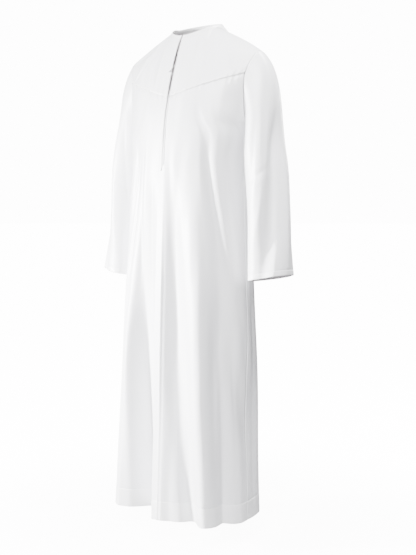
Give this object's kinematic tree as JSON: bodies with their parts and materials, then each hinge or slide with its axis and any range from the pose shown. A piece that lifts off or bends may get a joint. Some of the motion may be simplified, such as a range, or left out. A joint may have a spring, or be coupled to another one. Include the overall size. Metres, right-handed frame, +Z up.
{
  "type": "boubou robe",
  "caption": "Ankle-length white robe with long straight sleeves, round neck, slit front and V-shaped yoke seam, filled out as worn",
  "frame": {"origin": "middle of the neck opening, level with the high points of the shoulders, where the wearer's shoulders hold the robe", "axes": "+Z up, +X to the wearer's left, -Y the way the robe's front faces"},
  "size_m": [0.6491, 0.3158, 1.4179],
  "materials": {
    "robe_cloth": "smooth white plain-woven cotton blend with a soft sheen",
    "trim_cloth": "the same white cloth, folded and stitched as binding, facing and cord",
    "button": "white knotted cord, lightly polished by wear"
  },
  "bodies": {
    "root": {"front_panel": "robe_cloth", "yoke_left": "robe_cloth", "yoke_right": "robe_cloth", "back_panel": "robe_cloth", "sleeve_left": "robe_cloth", "sleeve_right": "robe_cloth", "neck_binding": "trim_cloth", "placket_left": "trim_cloth", "placket_right": "trim_cloth", "button": "button", "button_loop": "trim_cloth"}
  },
  "joints": []
}
